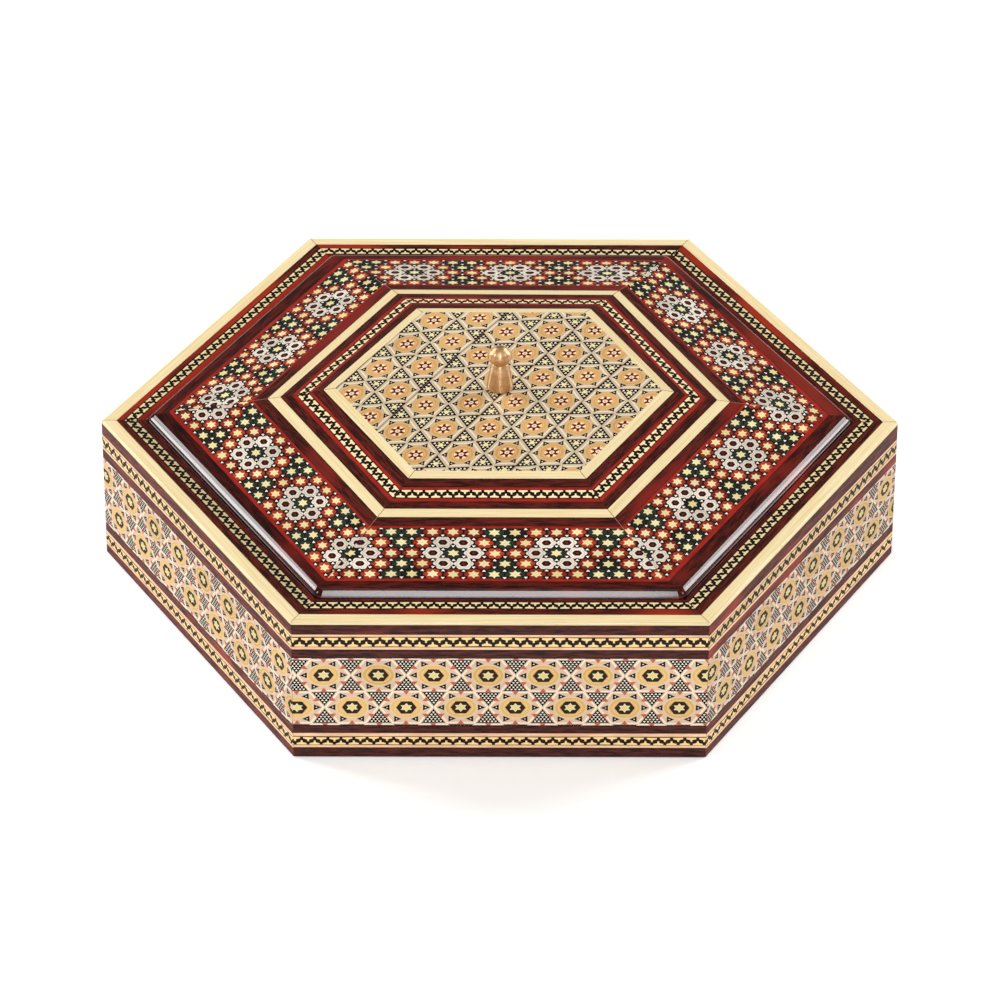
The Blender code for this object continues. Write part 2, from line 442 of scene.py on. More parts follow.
def panel_inlay(along, rows, across):
    """The walls' panel: golden rounds with a star in a dark hexagon, black triplets, chequered triangles
    with coral tips. 'across' is the height from the panel's middle in row pitches."""
    finish = along.finish
    x, y, column, row = lattice_cell(along, rows)
    tip_far, tip_near = reaches(y, x)
    side_far, side_near = reaches(x, y)
    luck = finish.chance(finish.vector(column, row, 3.0))
    unit = 0.0687
    colour = paint(tint(220, 190, 160), tint(246, 228, 206), between(tip_far, 0.4, 0.43))
    colour = paint(colour, tint(212, 184, 160), between(tip_far, 0.345, 0.365))
    round_reach = maths("SQRT", x * x + y * y * 1.12)
    gold = paint(tint(212, 170, 100), tint(226, 186, 118), luck)
    colour = paint(colour, tint(230, 198, 154), over(0.30, round_reach))
    colour = paint(colour, gold, over(0.28, round_reach))
    colour = paint(colour, tint(230, 194, 128), between(round_reach, 0.2, 0.225))
    colour = paint(colour, tint(46, 24, 18), over(0.165, tip_far))
    colour = paint(colour, tint(240, 228, 180), over(0.06, tip_near))
    colour = paint(colour, tint(224, 206, 136), over(0.046, tip_near))
    triplet = from_spot(side_far, side_near, 0.352)
    inside = over(unit * CORNER * 1.15, most(*[-measure for measure in triplet]))
    colour = paint(colour, BONE_WHITE, inside)
    colour = paint(colour, INLAY_BLACK, inside * over(most(*triplet), unit * 0.14))
    block = from_spot(tip_far, tip_near, CORNER)
    kind, inner = rod_triangles(block, unit)
    chequered = over(unit * ROOT3 * 1.08, most(*[-measure for measure in block]))
    tips = over(unit * ROOT3, most(*block)) * (1 - chequered)
    at_edge = over(size(across), 0.94) * over(size(x), 0.3)
    colour = paint(colour, tint(194, 96, 70), tips * (1 - at_edge))
    block_area = most(chequered, tips * at_edge * over(tip_far, 0.45))
    colour = paint(colour, INLAY_BLACK, block_area)
    colour = paint(colour, tint(250, 240, 218), block_area * kind * over(inner, 0.092))
    return shade(colour, 0.9 + 0.08 * luck)


def medallion_inlay(along, rows, strip):
    """The medallion's strips: rounds with a dark star among cream dots, and bordered triangles."""
    finish = along.finish
    x, y, column, row = lattice_cell(along, rows)
    tip_far, tip_near = reaches(y, x)
    side_far, side_near = reaches(x, y)
    luck = finish.chance(finish.vector(column, row, strip))
    unit = 0.072
    colour = paint(tint(205, 184, 153), tint(240, 223, 192), between(tip_far, 0.35, 0.385))
    colour = paint(colour, tint(208, 187, 155), over(tip_far, 0.41))
    colour = paint(colour, tint(206, 176, 136), over(0.33, tip_far))
    golden = most(tip_far, side_far)
    gold = paint(tint(204, 152, 86), tint(218, 170, 104), luck)
    colour = paint(colour, tint(216, 176, 122), over(0.29, golden))
    colour = paint(colour, gold, over(0.258, golden))
    colour = paint(colour, tint(228, 178, 118), between(golden, 0.18, 0.205))
    colour = paint(colour, tint(196, 104, 62), over(0.104, tip_near) * over(0.172, tip_far))
    colour = paint(colour, tint(84, 22, 12), over(0.08, tip_near) * over(0.155, tip_far))
    dot = over(0.03, most(*from_spot(side_far, side_near, 0.128))) * over(side_far, 0.09)
    colour = paint(colour, tint(250, 230, 190), dot)
    colour = paint(colour, tint(250, 216, 186), over(0.055, tip_far))
    colour = paint(colour, tint(214, 112, 76), over(0.02, tip_far))
    triplet = from_spot(side_far, side_near, 0.348)
    inside = over(unit * CORNER * 1.12, most(*[-measure for measure in triplet]))
    colour = paint(colour, tint(232, 216, 182), inside)
    colour = paint(colour, tint(20, 12, 10), inside * over(most(*triplet), unit * 0.17))
    block = from_spot(tip_far, tip_near, CORNER)
    kind, inner = rod_triangles(block, unit * 1.2, 2 / 3)
    backs = most(*[-measure for measure in block])
    bordered = over(unit * ROOT3 * 1.09, backs)
    colour = paint(colour, INLAY_BLACK, bordered)
    chequer = over(unit * ROOT3 * 0.87, backs) * kind * over(inner, 0.055)
    colour = paint(colour, tint(244, 234, 206), chequer)
    heart = over(unit * ROOT3 * 0.52, backs)
    colour = paint(colour, INLAY_BLACK, heart)
    colour = paint(colour, tint(240, 224, 160), heart * over(unit * ROOT3 * 0.42, most(*block)))
    return shade(colour, 0.86 + 0.11 * luck)


def braid_mask(along, across):
    """1 on the pale caps of a braid strip. along is in repeats and across runs 0 to 1 over its width.
    Each cap is a bar at one edge with sloping shoulders and a short stem down its middle; the other
    edge's caps stand between, and the dark braid runs through the middle."""
    def cap(from_middle, height):
        bar = between(height, 0.78, 0.94) * over(0.38, from_middle)
        shoulder = over(0.94, height) * over(height, 0.65 + 0.34 * from_middle) * over(0.36, from_middle)
        stem = between(height, 0.46, 0.9) * over(0.03 + 0.07 * height, from_middle)
        return most(bar, shoulder, stem)
    upper = size(part(along) - 0.5)
    lower = size(part(along + 0.5) - 0.5)
    return most(cap(upper, across), cap(lower, 1 - across))


def dark_wood(finish, along, across, sheet, dark, light, red, redness):
    """Straight-grained dark wood: fine streaks along the strip, with slow patches of redder heartwood."""
    streaks = finish.noise(finish.vector(along * 110, across * 900, sheet * 7.3), 1.0, 4.0, 0.7)
    patches = finish.noise(finish.vector(along * 22, across * 60, sheet * 3.1 + 5.0), 1.0, 2.0, 0.5)
    colour = paint(dark, light, ramp(streaks, 0.36, 0.64))
    return paint(colour, red, ramp(patches, 0.62 - redness * 0.4, 0.8 - redness * 0.3))


def pale_wood(finish, along, across, sheet):
    """Cream wood with faint straight grain and a few darker pores."""
    grain = finish.noise(finish.vector(along * 35, across * 2200, sheet * 5.7), 1.0, 3.0, 0.55)
    pores = finish.noise(finish.vector(along * 260, across * 5200, sheet * 2.9), 1.0, 1.0, 0.5)
    colour = paint(tint(238, 212, 156), tint(250, 232, 186), ramp(grain, 0.32, 0.7))
    return paint(colour, tint(206, 170, 112), 0.45 * ramp(pores, 0.66, 0.8))


def strips(across, inner_colour, rings):
    """Strips side by side: each (edge, colour) paints everything beyond its edge."""
    colour = inner_colour
    for edge, outer_colour in rings:
        colour = paint(colour, outer_colour, over(across, edge))
    return colour


def seams(colour, across, edges, half_width):
    """Thin dark glue lines where strips meet."""
    for edge in edges:
        colour = paint(colour, GLUE_LINE, over(half_width, size(across - edge)))
    return colour


LACQUER = {"Roughness": 0.4, "Coat_Weight": 1.0, "Coat_Roughness": 0.07, "Coat_IOR": 1.5,
           "Specular_IOR_Level": 0.0}
THIN_LACQUER = {**LACQUER, "Coat_Weight": 0.3}
DARK_STRIP = tint(40, 14, 10)
DARK_STRIP_LIGHT = tint(92, 33, 25)
CREAM_PALENESS = 0.89
EDGING_PALENESS = 0.85
STRIP_REDNESS = (0.1, 0.6, 0.1, 0.5, 0.6, 0.1)
BORDER_REDNESS = (0.1, 0.4, 0.5, 0.4, 0.5, 0.0)
ROSETTE_PHASE = (-17.0, 17.7, 24.7, -4.3, 7.5, 18.7)
STAR_SPACING = 7.5 * MM
STAR_PITCH = 5.22 * MM
STAR_MIDDLE = 95.0 * MM
BRAID_REPEAT = 4.28 * MM
LID_BRAID = 63.25 * MM
LID_BRAID_WIDTH = 4.35 * MM
# Where the lid's cream border, cream ring, star sheets and dark border begin or end
CREAM_BORDER_END = 57.6 * MM
CREAM_RING = (72.7 * MM, 77.2 * MM)
STARS_START = 81.5 * MM
BORDER_START = 109.0 * MM


def hand_laid(finish, along, across, sheet, amount):
    """Both measures with a slow wander, as sheets laid by hand have."""
    spot = finish.vector(along * 45, across * 45, sheet * 11.0)
    wander = finish.node("ShaderNodeTexNoise", {}, {"Vector": spot, "Scale": 1.0, "Detail": 1.0}, 1)
    sideways, upward = finish.split(wander)[:2]
    return along + (sideways - 0.5) * amount, across + (upward - 0.5) * amount


def hand_rubbed(finish, along, across, sheet):
    """The faint ripple that hand rubbing leaves in the lacquer."""
    ripple = finish.noise(finish.vector(along * 90, across * 90, sheet), 1.0, 2.0, 0.5)
    return finish.bump(ripple, 0.04 * MM)


def lid_finish():
    finish = Finish("lid_inlay", **LACQUER)
    along, reach = finish.place("inlay")
    sheet, true_along = finish.place("sheet")
    laid_along, laid_reach = hand_laid(finish, along, reach, sheet, 1.1 * MM)
    phase = by_side(sheet, [value * MM for value in ROSETTE_PHASE])
    stars = star_inlay((laid_along - phase) / STAR_SPACING, (laid_reach - STAR_MIDDLE) / STAR_PITCH, sheet)
    wood = dark_wood(finish, along, reach, sheet, DARK_STRIP, DARK_STRIP_LIGHT, tint(122, 34, 26),
                     by_side(sheet, STRIP_REDNESS) * over(reach, 77 * MM))
    border = dark_wood(finish, along, reach, sheet + 9, tint(36, 11, 8), tint(86, 26, 18), tint(124, 36, 24),
                       by_side(sheet, BORDER_REDNESS))
    border = shade(border, by_side(sheet, (1.0, 1.0, 1.0, 1.0, 1.0, 0.6)))
    red = dark_wood(finish, along, reach, sheet + 17, tint(132, 28, 22), tint(160, 40, 28),
                    tint(178, 52, 36), 0.0)
    cream = shade(pale_wood(finish, along, reach, sheet), CREAM_PALENESS)
    braid = braid_mask(laid_along / BRAID_REPEAT + sheet * 0.37, (laid_reach - LID_BRAID) / LID_BRAID_WIDTH)
    braid = paint(INLAY_BLACK, tint(244, 222, 172), braid)
    colour = strips(reach, cream, [
        (CREAM_BORDER_END, wood), (62.0 * MM, red), (LID_BRAID, braid), (67.6 * MM, red),
        (69.1 * MM, wood), (CREAM_RING[0], cream), (CREAM_RING[1], wood), (STARS_START, red),
        (82.55 * MM, stars), (107.7 * MM, red), (BORDER_START, border)])
    colour = seams(colour, reach, [CREAM_BORDER_END, *CREAM_RING], 0.16 * MM)
    colour = seams(colour, reach, [BORDER_START, STARS_START], 0.08 * MM)
    mitre = over(0.13 * MM, size(size(true_along) - reach * tan(HALF_TURN)))
    # Down the mitre: a dark glue line, and from the cream ring out to 88 mm a pale line over it, a painted
    # highlight on the ridge where two sides meet
    colour = paint(colour, tint(60, 34, 22), mitre * (1 - 0.5 * over(reach, 82 * MM)))
    colour = paint(colour, tint(176, 104, 88), mitre * between(reach, CREAM_RING[1], 88 * MM))
    return finish.wear(Base_Color=colour, Normal=hand_rubbed(finish, along, reach, sheet))


STRIP_BEARING = 59.1
STRIP_WIDTH = 28.05 * MM
STRIP_JOINT = 2.9 * MM
STRIP_PHASES = (8.7, -4.2, -5.2, -6.6)
ROUND_SPACING = 19.75 * MM
ROUND_PITCH = 14.0 * MM


def medallion_finish():
    finish = Finish("medallion_inlay", **LACQUER)
    place = finish.node("ShaderNodeTexCoord", {}, {}, 3)
    x, y = finish.split(place)[:2]
    x, y = hand_laid(finish, x, y, x * 0.0, 0.9 * MM)
    bearing = radians(STRIP_BEARING)
    along = x * cos(bearing) + y * sin(bearing)
    across = x * sin(bearing) - y * cos(bearing) - STRIP_JOINT
    strip = maths("FLOOR", across / STRIP_WIDTH)
    in_strip = across - (strip + 0.5) * STRIP_WIDTH
    phase = 0.0 * strip + STRIP_PHASES[0] * MM
    for number in range(1, 4):
        step = (STRIP_PHASES[number] - STRIP_PHASES[number - 1]) * MM
        phase = phase + over(strip, number - 2.5) * step
    colour = medallion_inlay((along - phase) / ROUND_SPACING, in_strip / ROUND_PITCH + 0.5, strip)
    from_joint = STRIP_WIDTH / 2 - size(in_strip)
    colour = paint(colour, tint(96, 60, 48), over(0.14 * MM, from_joint))
    ripple = finish.noise(place, 120.0, 2.0, 0.5)
    return finish.wear(Base_Color=colour, Normal=finish.bump(ripple, 0.05 * MM))


RIM_BRAID = 117.0 * MM
RIM_BRAID_WIDTH = 4.15 * MM
RIM_MIDDLE = 119 * MM
# The rim's braid runs straight from corner to corner, off true by so much at each
RIM_CORNERS = np.array([0.35, 0.2, 0.8, 0.3, 0.9, 1.4]) * MM
RIM_OFFSETS = ((RIM_CORNERS + np.roll(RIM_CORNERS, -1)) / 2).tolist()
RIM_SLANTS = ((np.roll(RIM_CORNERS, -1) - RIM_CORNERS)
              / (2 * RIM_MIDDLE * tan(HALF_TURN))).tolist()


def rim_finish():
    finish = Finish("rim_inlay", **LACQUER)
    along, reach = finish.place("inlay")
    sheet = finish.place("sheet")[0]
    off_true = by_side(sheet, RIM_OFFSETS) + along * by_side(sheet, RIM_SLANTS)
    laid_along, laid_reach = hand_laid(finish, along, reach - off_true, sheet, 0.6 * MM)
    outer_red = by_side(sheet, (0.45, 0.0, 0.4, 0.3, 0.4, 0.3))
    inner_red = by_side(sheet, (0.2, 0.25, 0.1, 0.2, 0.8, 0.3))
    outer = dark_wood(finish, along, reach, sheet, tint(38, 12, 8), tint(92, 29, 17),
                      tint(150, 42, 22), outer_red)
    inner = dark_wood(finish, along, reach, sheet + 21, tint(38, 10, 8), tint(96, 26, 17),
                      tint(150, 36, 20), inner_red)
    braid = braid_mask((laid_along + 17.3 * MM) / BRAID_REPEAT + sheet * 0.43,
                       (laid_reach - RIM_BRAID) / RIM_BRAID_WIDTH)
    braid = paint(INLAY_BLACK, tint(248, 224, 168), braid)
    braid = shade(braid, by_side(sheet, (0.83, 0.8, 0.75, 0.83, 0.78, 0.6)))
    colour = strips(reach - off_true, inner, [(RIM_BRAID, braid), (121.15 * MM, outer)])
    colour = seams(colour, reach - off_true, [116.95 * MM, 121.2 * MM], 0.14 * MM)
    mitre = size(size(along) - reach * tan(HALF_TURN))
    colour = paint(colour, GLUE_LINE, over(0.12 * MM, mitre))
    return finish.wear(Base_Color=colour, Normal=hand_rubbed(finish, along, reach, sheet))


PANEL_MIDDLE = 30.0 * MM
PANEL_PITCH = 14.5 * MM
WALL_BRAID_REPEAT = 4.8 * MM
LOW_BRAID = 5.8 * MM
LOW_BRAID_WIDTH = 3.8 * MM
TOP_BRAID = 49.9 * MM
TOP_BRAID_WIDTH = 4.4 * MM
PANEL_PHASE = (-4.2, 7.0, 2.0, 5.0, -3.0, 6.2)
# How far the strips under and over the panel lie off true, and how much more along the side's length
LOW_STRIPS = (-0.05 * MM, -0.4 * MM, -0.2 * MM, -0.2 * MM, -0.3 * MM, -0.5 * MM)
TOP_STRIPS = (-0.25 * MM, -1.55 * MM, -0.5 * MM, -0.3 * MM, -0.3 * MM, -0.5 * MM)
TOP_SLANTS = (0.0, -0.012, 0.0, 0.0, 0.0, 0.004)
WALL_REDNESS = (0.0, 0.45, 0.1, 0.3, 0.1, 0.15)
# How much lighter each side's dark wood is painted: painted sheen, standing in for the haze of light that
# the side walls catch
WALL_PAINTED_SHEEN = (1.1, 1.65, 1.1, 1.0, 1.2, 2.2)
PANEL_PALENESS = (1.0, 0.87, 1.0, 1.0, 1.0, 0.94)
CAP_PALENESS = (1.0, 0.72, 1.0, 1.0, 1.0, 0.94)


def wall_finish():
    finish = Finish("wall_inlay", **THIN_LACQUER)
    along, height = finish.place("inlay")
    sheet = finish.place("sheet")[0]
    low = by_side(sheet, LOW_STRIPS)
    top = by_side(sheet, TOP_STRIPS) + along * by_side(sheet, TOP_SLANTS)
    height = height - choose(ramp(height, 12 * MM, 46 * MM), top, low)
    laid_along, laid_height = hand_laid(finish, along, height, sheet, 1.0 * MM)
    phase = by_side(sheet, [value * MM for value in PANEL_PHASE])
    across = (laid_height - PANEL_MIDDLE) / PANEL_PITCH
    panel = panel_inlay((laid_along - phase) / ROUND_SPACING, across + 1.5, across)
    panel = shade(panel, by_side(sheet, PANEL_PALENESS))
    redness = by_side(sheet, WALL_REDNESS) * between(height, 44 * MM, 49 * MM)
    wood = dark_wood(finish, along, height, sheet, tint(36, 15, 13), tint(82, 36, 30),
                     tint(136, 46, 34), redness)
    # The dark wood made lighter side by side: painted sheen
    wood = shade(wood, by_side(sheet, WALL_PAINTED_SHEEN))
    pink = dark_wood(finish, along, height, sheet + 5, tint(226, 178, 140), tint(240, 202, 168),
                     tint(212, 156, 116), 0.1)
    luck = finish.chance(finish.vector(sheet, 4.0))
    braid_caps = paint(tint(252, 216, 152), tint(246, 208, 144), luck)
    repeats = laid_along / WALL_BRAID_REPEAT
    upper = braid_mask(repeats + sheet * 0.31, (laid_height - TOP_BRAID) / TOP_BRAID_WIDTH)
    lower = braid_mask(repeats + sheet * 0.23, (laid_height - LOW_BRAID) / LOW_BRAID_WIDTH)
    upper = paint(INLAY_BLACK, shade(braid_caps, by_side(sheet, CAP_PALENESS)), upper)
    lower = paint(INLAY_BLACK, braid_caps, lower)
    colour = strips(height, wood, [
        (4.5 * MM, pink), (LOW_BRAID, lower), (9.6 * MM, pink), (11.3 * MM, wood), (14.8 * MM, panel),
        (44.9 * MM, wood), (48.6 * MM, pink), (TOP_BRAID, upper), (54.3 * MM, pink), (55.5 * MM, wood)])
    edges = [4.5 * MM, 11.3 * MM, 14.6 * MM, 45.0 * MM, 48.6 * MM, 55.5 * MM]
    colour = seams(colour, height, edges, 0.18 * MM)
    for edge in (LOW_BRAID, 9.6 * MM, TOP_BRAID, 54.3 * MM):
        colour = paint(colour, tint(150, 108, 62), over(0.13 * MM, size(height - edge)))
    return finish.wear(Base_Color=colour, Normal=hand_rubbed(finish, along, height, sheet))


def edging_finish():
    finish = Finish("pale_edging_wood", **THIN_LACQUER)
    along, around = finish.place("inlay")
    sheet = finish.place("sheet")[0]
    colour = shade(pale_wood(finish, along, around, sheet + 31), EDGING_PALENESS)
    # How far round the profile its two mitres would meet
    unrolled = OUTER_REACH + RIM_HEIGHT - EDGING_UNDERSIDE + EDGING_ROUND * (pi / 2 - 2)
    from_mitre = (unrolled - around) * tan(HALF_TURN) - size(along)
    colour = paint(colour, tint(120, 84, 52), over(0.16 * MM, from_mitre))
    ripple = finish.noise(finish.vector(along * 120, around * 400, sheet), 1.0, 2.0, 0.5)
    return finish.wear(Base_Color=colour, Normal=finish.bump(ripple, 0.04 * MM))


def board_finish():
    """Plain stained board, for the inside, the floor and the undersides."""
    finish = Finish("plain_board_wood", Specular_IOR_Level=0.35)
    place = finish.node("ShaderNodeTexCoord", {}, {}, 3)
    x, y, z = finish.split(place)
    grain = finish.noise(finish.vector(x * 14, y * 420, z * 420), 1.0, 4.0, 0.6)
    pores = finish.noise(finish.vector(x * 90, y * 2400, z * 2400), 1.0, 2.0, 0.5)
    colour = paint(tint(74, 44, 30), tint(122, 78, 52), ramp(grain, 0.3, 0.7))
    colour = paint(colour, tint(44, 25, 17), 0.6 * ramp(pores, 0.6, 0.75))
    return finish.wear(Base_Color=colour, Roughness=0.5 + 0.15 * grain,
                       Normal=finish.bump(grain, 0.08 * MM))


def brass_finish():
    """Turned brass: warm, satin, with fine rings from the lathe."""
    finish = Finish("turned_brass", Metallic=1.0, Coat_Weight=0.4, Coat_IOR=1.8, Coat_Roughness=0.04)
    place = finish.node("ShaderNodeTexCoord", {}, {}, 3)
    x, y, z = finish.split(place)
    rings = finish.noise(finish.vector(x * 20, y * 20, z * 5200), 1.0, 2.0, 0.5)
    cloud = finish.noise(place, 320.0, 3.0, 0.6)
    colour = paint(tint(206, 156, 108), tint(226, 184, 130), ramp(cloud, 0.35, 0.7))
    return finish.wear(Base_Color=colour, Roughness=0.33 + 0.2 * cloud,
                       Normal=finish.bump(rings, 0.03 * MM))


def stage_finish():
    finish = Finish("pale_stage", Roughness=0.9, Emission_Color=(1.0, 1.0, 1.0, 1.0),
                    Emission_Strength=0.2)
    place = finish.node("ShaderNodeTexCoord", {}, {}, 3)
    mottle = finish.noise(place, 3.0, 2.0, 0.5)
    return finish.wear(Base_Color=paint(tint(246, 246, 246), tint(250, 250, 250), mottle))


def side_uv(side, along, true_along, second, rows_closed):
    """Face-corner places for a side's grid: the along and the second measure of each profile stretch,
    then the side's number and the along on a true hexagon."""
    rows, columns = along.shape
    quads = grid_quads(rows, columns, rows_closed)
    starts, ends = second
    stretch = np.repeat(np.arange(len(starts)), columns - 1)
    corner_along = along.ravel()[quads]
    corner_second = np.stack([starts[stretch], starts[stretch], ends[stretch], ends[stretch]], 1)
    uv = np.stack([corner_along, corner_second], -1)
    sheet = np.stack([np.full(quads.shape, float(side)), true_along.ravel()[quads]], -1)
    return quads, uv, sheet


def moulding(name, side, profile, rounding, second, finishes, stretch_finish, gap=MITRE_GAP):
    """A closed profile carried along one side, with a flat mitred face at each end."""
    along, reach, up = side_surface(profile, rounding, gap)
    points = side_points(side, along, reach, up).reshape(-1, 3)
    quads, uv, sheet = side_uv(side, along, along, second, True)
    rows, columns = along.shape
    first_end = np.arange(rows) * columns
    caps = [first_end.tolist(), (first_end + columns - 1)[::-1].tolist()]
    cap_uv = np.zeros((2 * rows, 2))
    cap_sheet = np.zeros((2 * rows, 2))
    cap_sheet[:, 0] = side
    faces = quads.tolist() + caps
    face_finish = np.concatenate([np.repeat(stretch_finish, columns - 1), [stretch_finish[-1]] * 2])
    return new_piece(name, points, faces, finishes, face_finish,
                     np.concatenate([uv.reshape(-1, 2), cap_uv]),
                     np.concatenate([sheet.reshape(-1, 2), cap_sheet]))


def profile_of(*stretches):
    """Joins stretches of (reach, up) rows into one profile."""
    return np.concatenate([np.asarray(stretch, float) for stretch in stretches])


def path_length(profile):
    """Distance along a profile at each of its points."""
    steps = np.hypot(*np.diff(profile, axis=0).T)
    return np.concatenate([[0], np.cumsum(steps)])


def wall_profile():
    """Round the wall's section: up the outer face, into the edging's notch, over the rim, down the
    rebate to the ledge, down the inside, round the floor's rabbet and back under."""
    face = arc((OUTER_REACH - BASE_ROUND, BASE_ROUND), BASE_ROUND, -90, 0, 6)
    notch_floor = EDGING_UNDERSIDE - 0.1 * MM
    notch_side = EDGING_REACH - 0.12 * MM
    rim_edge = arc((REBATE_REACH + RIM_ROUND, RIM_HEIGHT - RIM_ROUND), RIM_ROUND, 90, 180, 5)
    return [
        face,
        [(OUTER_REACH, notch_floor)],
        [(notch_side, notch_floor), (notch_side, RIM_HEIGHT - FINE_ROUND),
         (notch_side - FINE_ROUND, RIM_HEIGHT)],
        rim_edge,
        [(REBATE_REACH, LEDGE_HEIGHT), (INNER_REACH, LEDGE_HEIGHT), (INNER_REACH, FLOOR_THICKNESS),
         (RABBET_REACH, FLOOR_THICKNESS), (RABBET_REACH, 0.0)],
    ]


def make_walls(finishes):
    stretches = wall_profile()
    profile = profile_of(*stretches)
    face_count = len(stretches[0])
    rim_start = face_count + 3
    rim_end = rim_start + 1 + len(stretches[3]) - 1
    starts = profile[:, 0].copy()
    ends = np.roll(profile[:, 0], -1)
    starts[:face_count] = profile[:face_count, 1]
    ends[:face_count] = np.roll(profile[:, 1], -1)[:face_count]
    stretch_finish = np.full(len(profile), 2)
    stretch_finish[:face_count] = 0
    stretch_finish[rim_start:rim_end] = 1
    rounding = np.full(len(profile), FINE_ROUND)
    rounding[:face_count + 1] = ARRIS_ROUND
    for side, word in enumerate(SIDES):
        wall = moulding("inlaid_wall_" + word, side, profile, rounding, (starts, ends), finishes,
                        stretch_finish)
        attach(wall, "root")
        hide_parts("wall_" + word)


def make_edging(finish):
    """Pale strips let into the walls' outer top edge, rounded outside."""
    round_part = arc((OUTER_REACH - EDGING_ROUND, RIM_HEIGHT - EDGING_ROUND), EDGING_ROUND, 0, 90, 8)
    profile = profile_of(
        [(OUTER_REACH, EDGING_UNDERSIDE)], round_part,
        [(EDGING_REACH + FINE_ROUND, RIM_HEIGHT), (EDGING_REACH, RIM_HEIGHT - FINE_ROUND),
         (EDGING_REACH, EDGING_UNDERSIDE)])
    starts = path_length(profile)
    ends = np.append(starts[1:], starts[-1] + OUTER_REACH - EDGING_REACH)
    rounding = np.full(len(profile), FINE_ROUND)
    rounding[:4] = ARRIS_ROUND
    for side, word in enumerate(SIDES):
        strip = moulding("pale_strip_" + word, side, profile, rounding, (starts, ends), [finish],
                         np.zeros(len(profile), int))
        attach(strip, "root")
        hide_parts("edging_" + word)


def lid_profile():
    """From the crown's middle out over the medallion and the slope, round the edge, and back under.

    up on the medallion = top - crown (reach / medallion reach)^2, up on the slope is a straight line,
    and the edge is an arc tangent to the slope and to the upright side."""
    slope = (MEDALLION_HEIGHT - LID_EDGE_HEIGHT) / (LID_REACH - MEDALLION_REACH)
    lean = atan2(slope, 1)
    top = MEDALLION_HEIGHT + LID_CROWN
    medallion = np.append(np.linspace(0.02 * MM, MEDALLION_REACH - CREASE, 11), MEDALLION_REACH)
    centre_reach = LID_REACH - LID_EDGE_ROUND
    tangent_reach = centre_reach + LID_EDGE_ROUND * sin(lean)
    tangent_up = MEDALLION_HEIGHT - slope * (tangent_reach - MEDALLION_REACH)
    centre_up = tangent_up - LID_EDGE_ROUND * cos(lean)
    slope_reach = np.linspace(MEDALLION_REACH + CREASE, tangent_reach, 14)[:-1]
    foot = LID_BOX[0].z
    seat_reach = LID_REACH - LID_SEAT_WIDTH
    return (
        np.stack([medallion, top - LID_CROWN * (medallion / MEDALLION_REACH) ** 2], 1),
        np.stack([slope_reach, MEDALLION_HEIGHT - slope * (slope_reach - MEDALLION_REACH)], 1),
        arc((centre_reach, centre_up), LID_EDGE_ROUND, 90 - np.degrees(lean), 0, 14),
        np.array([(LID_REACH, foot + 0.3 * MM), (LID_REACH - 0.3 * MM, foot), (seat_reach, foot)]),
        np.array([(MEDALLION_REACH, MEDALLION_HEIGHT - LID_THICKNESS),
                  (0.02 * MM, top - LID_THICKNESS)]),
    )


# How far the inlay's rings lie off true on each side: straight out, and more along the side's length.
# The first list is the medallion's border, the second the strips and stars outside it.
INNER_RINGS = ((0.3 * MM, 0.0), (-1.0 * MM, 0.005), (0.5 * MM, 0.037),
               (0.4 * MM, 0.0), (-0.2 * MM, 0.024), (0.0, 0.018))
OUTER_RINGS = ((0.3 * MM, 0.0), (-2.0 * MM, 0.005), (-0.75 * MM, 0.036),
               (-0.3 * MM, 0.005), (-1.8 * MM, 0.012), (-0.7 * MM, 0.02))
# Where the second list takes over from the first, where its moves fade out, and the ring it is meant for
OUTER_START = 64 * MM
OUTER_END = 112.4 * MM
OUTER_MIDDLE = 90 * MM


def corner_moves(rings, reach):
    """Plan moves of a ring's corners, each between a side and the next, that put the sides where the
    list says: outward . move = offset + slant along, solved for both of the corner's sides."""
    along = reach * tan(HALF_TURN)
    moves = []
    for side in range(6):
        after = (side + 1) % 6
        outward = np.array([side_frame(side)[0], side_frame(after)[0]])
        ends = [rings[side][0] + rings[side][1] * along, rings[after][0] - rings[after][1] * along]
        moves.append(np.linalg.solve(outward, ends))
    return np.array(moves)


def hand_set(side, along, reach, on_top):
    """The along and reach of a side's points once the rings are moved. The lid's own edge stays true."""
    row_reach = reach[:, :1]
    inner_marks = [0, MEDALLION_REACH, CREAM_BORDER_END, OUTER_START]
    outer_marks = [CREAM_BORDER_END, OUTER_START, BORDER_START, OUTER_END]
    inner = on_top * np.interp(row_reach, inner_marks, [0, 1, 1, 0])
    outer = on_top * np.interp(row_reach, outer_marks, [0, 1, 1, 0])
    inner_moves = corner_moves(INNER_RINGS, MEDALLION_REACH)
    outer_moves = corner_moves(OUTER_RINGS, OUTER_MIDDLE)
    before, after = (inner[..., None] * inner_moves[corner] + outer[..., None] * outer_moves[corner]
                     for corner in (side - 1, side))
    share = (0.5 + 0.5 * along / np.maximum(row_reach * tan(HALF_TURN), MITRE_GAP))[..., None]
    move = before * (1 - share) + after * share
    outward, sideways = side_frame(side)
    return along + move @ sideways, reach + move @ outward


